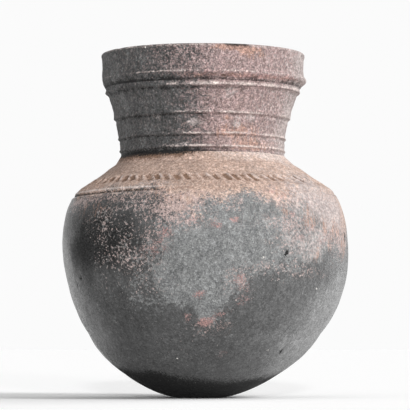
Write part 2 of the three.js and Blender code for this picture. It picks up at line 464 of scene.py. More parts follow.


# Edges round the belly, of the bare clay above and of the soot below: degrees round from the front, height in
# mm, and how softly the edge ends, in mm. The soot below is real soot and painted shade: its edge runs lower
# in front, where the bottom still faces the light, than at the sides.
TAN_EDGE = [
    (-180, 172, 20),
    (-130, 168, 16),
    (-88, 178, 10),
    (-54, 175, 14),
    (-42, 178, 18),
    (-32, 178, 26),
    (-24, 176, 36),
    (-18, 171, 44),
    (-12, 165, 46),
    (-5, 160, 36),
    (2, 169, 20),
    (10, 172, 16),
    (20, 172, 16),
    (28, 166, 20),
    (35, 157, 30),
    (44, 152, 34),
    (54, 144, 44),
    (66, 138, 50),
    (80, 142, 44),
    (105, 165, 24),
    (140, 150, 24),
    (180, 172, 20),
]
SOOT_AND_SHADE_EDGE = [
    (-180, 20, 10),
    (-120, 26, 12),
    (-90, 28, 14),
    (-57, 25, 15),
    (-40, 24, 15),
    (-28, 21.5, 12),
    (-16, 18, 14),
    (-4, 16.5, 15),
    (7, 15.5, 15),
    (23, 15, 14),
    (35, 16, 12),
    (46, 17, 10),
    (63, 19, 10),
    (90, 23, 12),
    (130, 22, 12),
    (180, 20, 10),
]
# Painted shade on the dark left of the belly, where the skin faces the dark side of the room; it also makes
# the skin matt there.
PAINTED_SHADE_PATCHES = [  # as the patches below
    (-44, 136, 18, 24, 0.4),
    (-60, 126, 9, 24, 0.4),
]
# Outlines round the blooms of ash: degrees round from the front, and height in mm.
ASH_BLOOMS = [
    [
        (-12, 150),
        (-14, 128),
        (-17, 112),
        (-18, 98),
        (-14, 88),
        (-9, 82),
        (-5, 76),
        (-1, 70),
        (4, 70),
        (8, 77),
        (13, 84),
        (16, 95),
        (20, 107),
        (29, 113),
        (40, 117),
        (55, 122),
        (72, 129),
        (80, 140),
        (66, 150),
        (48, 156),
        (36, 163),
        (28, 170),
        (18, 174),
        (8, 173),
        (2, 168),
        (-6, 160),
    ],
    [(140, 150), (128, 120), (146, 92), (172, 84), (200, 98), (214, 128), (196, 152), (168, 160)],
    [(236, 100), (250, 88), (262, 104), (256, 130), (242, 128)],
]
# Patches: degrees round from the front, height in mm, half width in degrees, half height in mm, strength.
ASH_DUST = [
    (-19, 124, 16, 52, 0.3),
    (-20, 94, 14, 24, 0.14),
    (-44, 96, 22, 34, 0.07),
    (-60, 150, 20, 26, 0.1),
    (2, 60, 18, 14, 0.1),
    (0, 42, 44, 24, 0.12),
    (-40, 84, 26, 30, 0.09),
    (30, 104, 22, 10, 0.2),
    (44, 110, 20, 8, 0.14),
    (20, 86, 10, 14, 0.1),
    (57, 150, 20, 28, 0.6),
    (42, 152, 10, 10, 0.2),
    (48, 170, 16, 9, 0.3),
]
ROSE_PATCHES = [
    (-66, 168, 16, 8, 0.35),
    (-50, 173, 34, 4.5, 0.4),
    (-40, 164, 18, 8, 0.16),
    (-20, 164, 14, 16, 0.34),
    (-19, 138, 9, 18, 0.3),
    (-24, 118, 12, 16, 0.16),
    (-8, 158, 12, 14, 0.36),
    (66, 146, 18, 30, 0.6),
    (50, 172, 32, 16, 0.55),
    (40, 138, 16, 22, 0.3),
    (4, 168, 22, 8, 0.3),
    (27, 150, 7, 8, 0.22),
    (36, 148, 6, 9, 0.26),
    (13, 98, 8, 16, 0.26),
    (36, 110, 22, 8, 0.25),
    (2, 62, 10, 10, 0.25),
    (150, 168, 40, 26, 0.4),
    (-140, 120, 30, 34, 0.3),
    (110, 96, 24, 20, 0.25),
]
SPECK_PATCHES = [
    (-39, 119, 15, 16, 0.38),
    (-46, 148, 10, 20, 0.33),
    (-35, 152, 14, 26, 0.28),
    (-26, 128, 10, 24, 0.22),
    (-58, 154, 8, 18, 0.18),
    (-38, 96, 22, 12, 0.1),
    (-20, 104, 12, 22, 0.2),
    (-26, 166, 14, 14, 0.22),
    (12, 88, 10, 18, 0.25),
    (40, 109, 30, 7, 0.27),
    (28, 102, 18, 9, 0.28),
    (0, 56, 14, 8, 0.12),
    (-8, 44, 34, 18, 0.1),
    (-36, 84, 30, 26, 0.1),
    (160, 110, 50, 50, 0.25),
    (-130, 130, 30, 40, 0.3),
    (100, 120, 24, 30, 0.25),
]
EMBER_PATCHES = [
    (0, 66, 4.5, 5.5, 0.7),
    (-2, 89, 4, 4, 0.4),
    (-9, 69, 3.5, 4, 0.35),
    (6, 72, 5, 4, 0.3),
    (13, 101, 3.5, 5, 0.5),
    (16, 94, 4, 5, 0.3),
    (15, 83, 4, 6, 0.3),
    (11, 150, 2.6, 3, 0.6),
    (4, 147, 3.5, 5, 0.45),
    (-6, 149, 3, 5, 0.3),
    (28, 175, 3, 2, 0.6),
    (32, 170, 3, 3, 0.4),
    (37, 156, 2.5, 3, 0.45),
    (42, 152, 3, 3, 0.4),
    (40, 136, 3.5, 4, 0.5),
    (-15, 141, 4, 6, 0.45),
    (-17, 128, 5, 6, 0.3),
    (46, 146, 4, 5, 0.4),
    (52, 138, 4, 6, 0.35),
    (-19, 134, 4, 4, 0.2),
    (-22, 126, 4, 5, 0.3),
    (9, 38, 6, 4, 0.2),
    (160, 60, 10, 8, 0.5),
    (-150, 150, 8, 7, 0.5),
]
RUST_PATCHES = [
    (34, 176, 8, 5, 0.35),
    (44, 166, 14, 10, 0.14),
    (34, 158, 3, 7, 0.5),
    (47, 153, 3, 9, 0.6),
    (55, 151, 3, 12, 0.65),
    (63, 150, 4, 16, 0.6),
    (59, 130, 3, 11, 0.5),
    (48, 127, 3, 9, 0.45),
    (72, 140, 5, 20, 0.5),
    (-58, 186, 12, 5, 0.4),
    (-52, 162, 14, 14, 0.22),
    (-14, 171, 16, 10, 0.28),
    (150, 140, 20, 20, 0.3),
]
HAZE_PATCHES = [
    (56, 170, 28, 22, 0.6),
    (70, 142, 22, 34, 0.2),
    (44, 134, 16, 18, 0.5),
    (24, 152, 22, 10, 0.2),
    (34, 190, 30, 14, 0.2),
    (-38, 181, 34, 7, 0.42),
    (130, 180, 50, 30, 0.4),
]
# Where the smoked skin is darker (below 1) or paler: as the patches. Most of it is painted light: painted
# shade on the left, and painted sheen down both edges and on the lit right of the lower belly; the patches
# behind only vary the tone.
TONE_SHADE_AND_SHEEN_PATCHES = [
    (-47, 136, 22, 26, 0.4),
    (-57, 116, 9, 26, 0.5),
    (-36, 122, 20, 20, 0.5),
    (-38, 70, 18, 34, 0.7),
    (-68, 62, 18, 34, 1.95),
    (-76, 112, 15, 40, 2.6),
    (-8, 40, 40, 22, 0.9),
    (48, 84, 34, 42, 1.35),
    (62, 66, 26, 42, 1.5),
    (75, 78, 24, 42, 1.9),
    (48, 38, 30, 28, 1.35),
    (62, 34, 22, 24, 1.5),
    (68, 112, 14, 16, 1.25),
    (-120, 90, 40, 40, 1.2),
    (180, 40, 50, 24, 0.8),
]
# Pits where a bit of husk or stone came out: degrees round, height, half width and half height in mm, lean in
# degrees, and depth in mm.
PITS = [
    (33, 123, 1.7, 3.6, 25, 1.2),
    (47, 41, 1.5, 2.0, 0, 0.9),
    (-61, 104, 1.2, 2.4, 15, 0.7),
    (-66, 98, 1.4, 2.2, 0, 0.7),
    (75, 139, 2.0, 5.5, 8, 0.6),
]
LIME_SPOTS = [  # bits of lime that burst at the surface, as the pits but without a depth
    (22.5, 119, 1.5, 1.5, 0),
    (36.5, 42, 1.3, 1.5, 0),
    (-14.5, 35, 1.5, 1.3, 0),
    (51, 94, 1.3, 1.3, 0),
]


SKIN_PER_DEGREE = math.radians(120)  # mm of skin to a degree of turn, near the widest line
SKIN_RADIUS = 110 * MM  # of the belly, about
TONE_MOST = 3  # the marks hold 0 to 1, so a tone is held as its share of this
LIME_EVERYWHERE = 0.003


def round_from(turn, middle):
    """Degrees round from a middle, the short way."""
    return (np.degrees(turn) - middle + 180) % 360 - 180


def patch_cover(turn, height, patch):
    """1 in the middle of a patch, falling to 0 a little outside its half width and half height."""
    middle, level, wide, tall, _ = patch
    away = np.hypot(round_from(turn, middle) / wide, (height / MM - level) / tall)
    return 1 - smoothstep(away, 0.35, 1.25)


def patches_cover(turn, height, patches):
    return sum(patch[-1] * patch_cover(turn, height, patch) for patch in patches)


def above_edge(turn, height, edge):
    """0 below an edge that runs round the jar, 1 above it, as soft as the edge is there."""
    rounds, levels, softness = np.array(edge, float).T
    level = np.interp(np.degrees(turn), rounds, levels) * MM
    soft = np.interp(np.degrees(turn), rounds, softness) * MM
    return smoothstep((height - level) / soft, -0.5, 0.5)


def bloom_cover(turn, height, corners, soft):
    """1 inside a bloom's outline, 0 outside, soft over the given width in mm."""
    middle = sum(corner[0] for corner in corners) / len(corners)
    x, y = round_from(turn, middle) * SKIN_PER_DEGREE, height / MM
    places = [((corner[0] - middle) * SKIN_PER_DEGREE, corner[1]) for corner in corners]
    nearest = np.full(len(x), np.inf)
    inside = np.zeros(len(x), bool)
    for (x0, y0), (x1, y1) in zip(places, places[1:] + places[:1]):
        wide, tall = x1 - x0, y1 - y0
        along = np.clip(((x - x0) * wide + (y - y0) * tall) / (wide**2 + tall**2), 0, 1)
        nearest = np.minimum(nearest, np.hypot(x - x0 - along * wide, y - y0 - along * tall))
        if y0 != y1:
            crosses = (y0 > y) != (y1 > y)
            inside ^= crosses & (x < x0 + (y - y0) * wide / tall)
    return smoothstep(np.where(inside, nearest, -nearest), -soft / 2, soft / 2)


def wandered(points, turn, height, far, seed):
    """Turn and height shifted here and there, so that what is painted by them gets ragged edges."""

    def astray(seed):
        return far * (drift(points, 21 * MM, seed) + 0.6 * drift(points, 7 * MM, seed + 1))

    return turn + astray(seed) / SKIN_RADIUS, height + astray(seed + 2)


def pit_cover(turn, height, pit):
    """1 in the middle of a pit, 0 outside it."""
    middle, level, wide, tall, lean = pit[:5]
    across = round_from(turn, middle) * SKIN_PER_DEGREE
    up = height / MM - level
    slant = math.radians(lean)
    x = across * math.cos(slant) - up * math.sin(slant)
    y = up * math.cos(slant) + across * math.sin(slant)
    return 1 - smoothstep(np.hypot(x / wide, y / tall), 0.45, 1.3)


def belly_marks(points, turn, height):
    """What the fire left at each point of the belly and the shoulder, with painted shade and painted sheen in
    its tone and painted shade in its soot.
    """
    ragged = wandered(points, turn, height, 6 * MM, seed=11)
    shaky = wandered(points, turn, height, 1.6 * MM, seed=17)
    ash = patches_cover(*ragged, ASH_DUST)
    for corners in ASH_BLOOMS:
        ash += bloom_cover(*ragged, corners, soft=30)
    tone_and_painted_light = np.ones(len(points))
    for patch in TONE_SHADE_AND_SHEEN_PATCHES:
        tone_and_painted_light *= 1 + (patch[-1] - 1) * patch_cover(*ragged, patch)
    # Soot below the edge is real soot and painted shade, the patches are painted shade, and the pits are
    # painted dark as painted shade in their hollows.
    soot_and_shade = np.maximum(1 - above_edge(*shaky, SOOT_AND_SHADE_EDGE), patches_cover(*ragged, PAINTED_SHADE_PATCHES))
    for pit in PITS:
        soot_and_shade = np.maximum(soot_and_shade, pit_cover(turn, height, pit))
    return {
        "ash": ash,
        "rose": patches_cover(*ragged, ROSE_PATCHES),
        "speck": patches_cover(*ragged, SPECK_PATCHES),
        "ember": patches_cover(*shaky, EMBER_PATCHES),
        "rust": patches_cover(*ragged, RUST_PATCHES),
        "lime": LIME_EVERYWHERE + sum(pit_cover(turn, height, spot) for spot in LIME_SPOTS),
        "haze": patches_cover(*ragged, HAZE_PATCHES),
        "bare": above_edge(*ragged, TAN_EDGE),
        "soot_and_shade": soot_and_shade,
        "tone_and_painted_light": tone_and_painted_light / TONE_MOST,
    }


NECK_STAINS = [  # as the patches
    (20, 299, 16, 3.5, 0.95),
    (30, 295, 12, 5, 0.5),
    (19, 240, 7, 2.5, 0.6),
    (30, 240, 6, 2, 0.3),
    (28, 229, 20, 9, 0.5),
    (38, 217, 20, 7, 0.7),
    (12, 226, 8, 4, 0.3),
]
NECK_HAZE = [  # as the patches
    (-5, 236, 6, 4, 0.6),
    (24, 236, 4, 7, 0.5),
    (17, 262, 5, 8, 0.45),
    (33, 242, 5, 5, 0.4),
    (8, 258, 6, 5, 0.3),
    (-14, 217, 8, 3, 0.3),
]
RIM_CHIP = (19, 301.5, 11, 2.4, 0.7)  # a dark chip in the lip, as the patches
RIM_LIME = (-33, 300, 1.6, 1.0, 0)  # as the bits of lime


def neck_marks(points, turn, height):
    """What the fire left on the neck and collar: smoked dark round the back and on the left, where the fire
    was. Its tone also paints a paler band of sheen down the left edge."""
    ragged_turn, ragged_height = wandered(points, turn, height, 5 * MM, seed=23)
    shaky = wandered(points, turn, height, 1.6 * MM, seed=27)
    degrees = np.degrees(ragged_turn)
    share_up = smoothstep(ragged_height, 262 * MM, 282 * MM)
    begin = -34 - 38 * share_up
    full = 30 + 24 * share_up
    bare = smoothstep(degrees, begin, full) * (1 - smoothstep(np.abs(degrees - 20), 90, 158))
    behind = smoothstep(points[:, 1], 0, 40 * MM)
    bare = np.maximum(bare, 0.75 * smoothstep(drift(points, 40 * MM, seed=29), 0.1, 0.5) * behind)
    low_right = smoothstep(degrees, 0, 30) * bump(height - 219 * MM, 9 * MM)
    left = towards_left(ragged_turn, -30, 20)
    haze_right = 0.35 * smoothstep(degrees, 10, 50) + 0.45 * smoothstep(degrees, 50, 75)
    # Painted sheen: a paler band of skin down the left edge.
    tone_and_painted_light = 0.86 + 0.3 * smoothstep(degrees, -90, -60) * (1 - smoothstep(degrees, -60, -50))
    return {
        "ash": 0.2 * left,
        "rose": 0.06 + 0.22 * bare + 0.3 * low_right,
        "speck": 0.1 + 0.1 * bare,
        "ember": 0.12 * bare,
        "rust": patches_cover(*shaky, NECK_STAINS),
        "lime": LIME_EVERYWHERE + pit_cover(turn, height, RIM_LIME),
        "haze": haze_right * bare + 0.15 * left + patches_cover(*shaky, NECK_HAZE),
        "bare": bare,
        "soot_and_shade": np.zeros(len(points)),
        "tone_and_painted_light": tone_and_painted_light / TONE_MOST,
    }


PADDLE_START = 30 * MM  # along the wall from the middle of the base
PADDLE_STEP = 22 * MM  # from one row of flats to the next
PADDLE_WIDE = 27 * MM


def paddle_flats(points, wall, depth):
    """How far the flats left by the paddle cut into the belly at each point."""
    rng = np.random.default_rng(71)
    cut = np.zeros(len(points))
    blunt = 0.1 * MM  # how softly a flat ends
    run = PADDLE_START
    while run < wall.joints.edge - PADDLE_STEP:
        count = max(5, int(FULL_TURN * wall.place(run, OUTER)[0] / PADDLE_WIDE))
        for index in range(count):
            turn = FULL_TURN * (index + rng.uniform(-0.4, 0.4)) / count
            here = run + rng.uniform(-8, 8) * MM
            radius, height = wall.place(here, OUTER)
            out, rise = wall.normal_at(here)
            normal = np.array([out * math.sin(turn), -out * math.cos(turn), rise])
            centre = np.array([radius * math.sin(turn), -radius * math.cos(turn), height])
            inset = depth * rng.uniform(0.2, 1.0)
            over = (points - centre) @ normal + inset
            cut = np.maximum(cut, blunt * np.log1p(np.exp(np.clip(over / blunt, -30, 30))))
        run += PADDLE_STEP
    return cut


def hand_unevenness(points, amount):
    """The slow in and out of a wall beaten by hand, and the finer ripple on it."""
    slow = drift(points, 55 * MM, seed=61)
    ripple = drift(points, 17 * MM, seed=62)
    fine = drift(points, 4 * MM, seed=63)
    return amount * (slow + 0.35 * ripple + 0.1 * fine)


def thrown_lines(points, amount, seed):
    """The level ridges that fingers and a wet rag leave on the turning clay."""
    coarse = drift(points, (70 * MM, 70 * MM, 2.6 * MM), seed)
    fine = drift(points, (40 * MM, 40 * MM, 0.9 * MM), seed + 1)
    return amount * (0.6 * coarse + 0.4 * fine)


BEVEL_STATIONS = 5


def stations_round(wall, foot, head, seam, face_step, hidden_step):
    """Runs and depths of the stations round a section: up its outer face, in along the upper bevel, down
    inside and out again along the lower bevel. The base bowl has no foot: it begins and ends on the axis."""
    lap = wall.outline.lap
    bevel = np.linspace(OUTER, INNER, BEVEL_STATIONS)
    head = head - seam / 2
    low, inner_low = 0, 0
    if foot is not None:
        low = foot + seam / 2
        inner_low = low + lap
    face = np.linspace(low, head, max(3, round((head - low) / face_step)) + 1)
    inside = np.linspace(head + lap, inner_low, max(3, round((head - low) / hidden_step)) + 1)
    runs = [face, (head + lap * bevel)[1:-1], inside]
    depths = [np.full(len(face), OUTER), bevel[1:-1], np.full(len(inside), INNER)]
    if foot is not None:
        runs.append((low + lap * bevel[::-1])[1:])
        depths.append(bevel[::-1][1:])
    return np.concatenate(runs), np.concatenate(depths)


def belly_relief(section):
    """The beaten wall of the belly: slow unevenness, paddle flats and the faint crease over a joint."""
    relief = bpy.context.scene.jar_relief
    points, turn, height, wall = section.points, section.turn, section.height, section.wall
    keep_rest = smoothstep(height, 0.5 * MM, 14 * MM)
    uneven = hand_unevenness(points, relief.uneven) * keep_rest
    flats = paddle_flats(points, wall, relief.paddle_flat) * keep_rest
    smooth_top = 1 - smoothstep(height, 140 * MM, 176 * MM)
    crease = 0.3 * MM * bump(height - wall.outline.upper_joint, 1.4 * MM)
    crease = crease * smoothstep(drift(points, 50 * MM, seed=64), -0.4, 0.6)
    pits = sum(pit[-1] * MM * pit_cover(turn, height, pit) for pit in PITS)
    return uneven + swell(height) - flats * smooth_top - crease - pits


LINE_LIP = 0.3 * MM  # how proud the lips of the incised line stand
STROKE_BURR = 0.3 * MM  # how proud the clay pushed up beside a stroke stands


def incised_line(section):
    """The groove of the line round the shoulder and the two lips beside it. It was drawn a little higher on
    the right, and has worn away in front."""
    wall = section.wall
    rightwards = np.sin(section.turn)
    away = section.run - (wall.joints.edge - wall.outline.line_drop + 1.6 * MM * rightwards)
    groove = bump(away, bpy.context.scene.jar_relief.line_wide / 2)
    lips = bump(away - 3.0 * MM, 1.0 * MM) + bump(away + 2.8 * MM, 0.9 * MM)
    crisp = 0.15 + 0.85 * smoothstep(-rightwards, 0.1, 0.45) + 0.3 * smoothstep(rightwards, 0.6, 0.9)
    return groove * crisp, lips * crisp


BELLY_SEGMENTS = 480
COARSE_STEP = 1.6 * MM  # from one vertex to the next up the outer face
FINE_STEP = 0.7 * MM


def make_belly_section(node, slot, foot, head, face_step):
    """One section of the belly or, with no foot, the base bowl."""
    wall = Wall()
    stations = stations_round(wall, foot, head, 0.02 * MM, face_step, 6 * MM)
    section = Section("clay_" + node, wall, stations, BELLY_SEGMENTS)
    groove, lips = incised_line(section)
    relief = belly_relief(section)
    relief += LINE_LIP * lips - bpy.context.scene.jar_relief.line_deep * groove
    marks = belly_marks(section.points, section.turn, section.height)
    # Pale worn clay and painted highlight on the lips of the line; dirt and painted shade in its groove.
    marks["worn"] = 0.4 * lips
    marks["grime_and_shade"] = 0.8 * groove
    section.shape(relief, marks)
    finish_piece(section.piece, node, burnished_earthenware())


def stroke_field(section, settings):
    """Depth of the strokes pressed round the shoulder, from 0 to 1, and the burr pushed up beside them."""
    run, turn, wall = section.run, section.turn, section.wall
    middle = wall.joints.edge + settings.stroke_rise
    radius = wall.place(middle, OUTER)[0]
    count = round(FULL_TURN * radius / settings.stroke_pitch)
    jitter = np.random.default_rng(81).uniform(-1, 1, (count, 5))
    pressed = np.zeros(len(run))
    burr = np.zeros(len(run))
    nearest = np.floor(turn / FULL_TURN * count)
    for beside in (-1, 0, 1, 2):
        which = (nearest + beside).astype(int)
        slip = jitter[which % count]
        centre = (which + 0.14 * slip[:, 0]) / count * FULL_TURN
        across = (turn - centre) * radius
        along = run - middle - 0.8 * MM * slip[:, 1]
        slant = np.radians(settings.stroke_slant + 7 * slip[:, 2])
        up = np.abs(along * np.cos(slant) - across * np.sin(slant))
        side = across * np.cos(slant) + along * np.sin(slant)
        half_long = settings.stroke_long / 2 * (1 + 0.15 * slip[:, 3])
        half_wide = settings.stroke_wide / 2 * (1 + 0.15 * slip[:, 4])
        trough = 1 - smoothstep(np.abs(side), 0.5 * half_wide, half_wide)
        trough = trough * (1 - smoothstep(up, 0.6 * half_long, 1.15 * half_long))
        ridge = bump(side - 1.25 * half_wide, 0.45 * half_wide)
        ridge = ridge * (1 - smoothstep(up, 0.5 * half_long, half_long))
        pressed = np.maximum(pressed, trough * (0.8 + 0.3 * slip[:, 1]))
        burr = np.maximum(burr, ridge)
    return pressed, burr


class JAR_OT_base_bowl(bpy.types.Operator):
    """Model the round bottom of the jar, with the spot worn flat on which it stands"""

    bl_idname = "jar.base_bowl"
    bl_label = "Base bowl"

    def execute(self, context):
        make_belly_section("base_bowl", "burnished_black", None, Wall().joints.base, COARSE_STEP)
        return {"FINISHED"}


class JAR_OT_belly_rings(bpy.types.Operator):
    """Model the three rings of clay of which the belly is built"""

    bl_idname = "jar.belly_rings"
    bl_label = "Belly rings"

    def execute(self, context):
        joints = Wall().joints
        rings = [
            ("lower_belly_ring", "burnished_black", joints.base, joints.lower, COARSE_STEP),
            ("middle_belly_ring", "burnished_charcoal", joints.lower, joints.upper, COARSE_STEP),
            ("upper_belly_ring", "ash_bloom_grey", joints.upper, joints.shoulder, FINE_STEP),
        ]
        for ring in rings:
            make_belly_section(*ring)
        return {"FINISHED"}


class JAR_OT_shoulder_ring(bpy.types.Operator):
    """Model the shoulder with its incised line and its band of pressed strokes"""

    bl_idname = "jar.shoulder_ring"
    bl_label = "Shoulder ring"

    SEGMENTS = 864  # fine enough for the strokes

    def execute(self, context):
        settings = context.scene.jar_relief
        wall = Wall()
        joints = wall.joints
        stations = stations_round(wall, joints.shoulder, joints.neck, 0.1 * MM, 0.6 * MM, 5 * MM)
        section = Section("clay_shoulder_ring", wall, stations, self.SEGMENTS)
        turn, height = section.turn, section.height
        pressed, burr = stroke_field(section, settings)
        groove, lips = incised_line(section)
        relief = (
            hand_unevenness(section.points, settings.uneven)
            + swell(height)
            + thrown_lines(section.points, 0.12 * MM, seed=65)
            - settings.stroke_deep * pressed
            + STROKE_BURR * burr
            - settings.line_deep * groove
            + LINE_LIP * lips
        )
        left = towards_left(turn, -25, 15)
        right = 1 - towards_left(turn, 10, 45)
        # Painted light: the top of the shoulder on the lit right is paler.
        above = smoothstep(height, 184 * MM, 196 * MM) * right * smoothstep(np.sin(turn), 0.1, 0.5)
        from_neck = section.run - joints.neck
        # Round the foot of the neck: painted light on the right, painted shade on the left.
        bright_foot = (1 - left) * bump(from_neck, 11 * MM)
        shaded_foot = left * bump(from_neck, (1.5 + 6.5 * left) * MM)
        dark_shaded_foot = 0.9 * bump(from_neck, 4 * MM)
        marks = belly_marks(section.points, turn, height)
        # Painted highlights with some wear: on the lips and the burrs, at the lit top of the shoulder on the
        # right, and beside the foot of the neck on the right.
        marks["worn"] = 0.9 * lips + 0.5 * burr + 0.32 * above + 0.35 * bright_foot
        # Dirt and painted shade in the strokes, less on the lit right, and in the line; painted shade at the
        # foot of the neck on the left.
        marks["grime_and_shade"] = (0.9 - 0.22 * right) * pressed + 0.7 * groove + shaded_foot
        # Painted shade in the line and at the foot of the neck, on the left only.
        marks["soot_and_shade"] = np.maximum(marks["soot_and_shade"], np.maximum(0.82 * groove, dark_shaded_foot) * left)
        section.shape(relief, marks)
        finish_piece(section.piece, "shoulder_ring", tan_earthenware())
        return {"FINISHED"}


# Each cordon, in mm: rise of its edge above the foot of the neck, how proud it stands, how long its ledge and
# its undercut are, how hollow it is below, and how wide the pale of its crest is, worn clay and painted
# highlight.
CORDONS = [
    (4.6, 1.0, 1.6, 2.2, 0.5, 1.0),
    (15.6, 1.0, 1.8, 2.2, 0.45, 1.2),
    (33.4, 1.3, 6.4, 2.6, 0.4, 1.3),
    (56.8, 1.9, 2.4, 4.0, 0.2, 1.7),
]
NECK_SEGMENTS = 600


def cordon_relief(section):
    """The turned cordons of the neck, and how much each place gets a pale crest or a dark hollow: the pale
    crest is painted highlight with some wear, stronger on the right, and the dark hollow is painted shade
    under the ledge.
    """
    wall = section.wall
    level = section.points * (1, 1, 0)
    left = towards_left(section.turn, -38, -4)
    lift, worn, grime_and_shade = np.zeros((3, len(level)))
    for index, (rise, proud, ledge, undercut, hollow, crest) in enumerate(CORDONS):
        wobble = 0.45 * MM * drift(level, 30 * MM, seed=91 + index)
        pride = 1 + 0.25 * drift(level, 26 * MM, seed=95 + index)
        rubbed = 0.75 + 0.5 * drift(level, 11 * MM, seed=99 + index)
        away = section.run - wall.run_at_height(wall.outline.neck_foot_height + rise * MM) - wobble
        shape = np.interp(
            away / MM,
            [-2 * undercut, -undercut, -0.45 * undercut, 0, 0.5 * ledge, ledge],
            [0, -hollow, 0.25 * proud, proud, 0.45 * proud, 0],
        )
        lift += shape * pride * MM
        # Painted highlight along each crest, with some wear, fading towards the left.
        crest_cover = bump(away - 0.4 * crest * MM, crest * MM) * np.clip(rubbed, 0, 1)
        worn = np.maximum(worn, crest_cover * (0.72 - 0.6 * left))
        # Painted shade under each ledge, a little stronger on the left, and a wider soft painted shadow below
        # it.
        under = bump(away + 0.75 * undercut * MM, (0.5 + 0.25 * left) * undercut * MM)
        under = under * (0.45 + 0.2 * rubbed + 0.05 * left)
        shadow = 0.4 * rubbed * bump(away + 3.6 * MM, 2.6 * MM)
        grime_and_shade = np.maximum(grime_and_shade, np.maximum(under, shadow))
    return lift, worn, grime_and_shade


class JAR_OT_neck(bpy.types.Operator):
    """Model the flaring neck with its four turned cordons"""

    bl_idname = "jar.neck"
    bl_label = "Neck"

    def execute(self, context):
        wall = Wall()
        joints = wall.joints
        stations = stations_round(wall, joints.neck, joints.collar, 0.12 * MM, 0.5 * MM, 4 * MM)
        section = Section("clay_neck", wall, stations, NECK_SEGMENTS)
        points = section.points
        lift, worn, grime_and_shade = cordon_relief(section)
        uneven = hand_unevenness(points, 0.5 * context.scene.jar_relief.uneven)
        relief = lift + uneven + thrown_lines(points, 0.16 * MM, seed=66)
        left = towards_left(section.turn, -10, 40)
        foot = bump(section.run - joints.neck, (1.6 + 2.0 * left) * MM)
        marks = neck_marks(points, section.turn, section.height)
        marks["worn"] = worn
        # Painted shade under the cordons and at the foot of the neck, stronger on the left.
        marks["grime_and_shade"] = np.maximum(grime_and_shade, foot) * (0.3 + 0.55 * left)
        section.shape(relief, marks)
        finish_piece(section.piece, "neck", smoked_earthenware())
        return {"FINISHED"}


def soften(points, passes):
    """Rounds the corners of a drawn outline by letting each point settle between its neighbours."""
    points = points.copy()
    for _ in range(passes):
        points[1:-1] = 0.25 * points[:-2] + 0.5 * points[1:-1] + 0.25 * points[2:]
    return points


def respaced(points, step):
    """The same outline with points at even steps."""
    points = np.array(points, float)
    run = run_along(points)
    return along_line(np.linspace(0, run[-1], round(run[-1] / step) + 1), run, points)


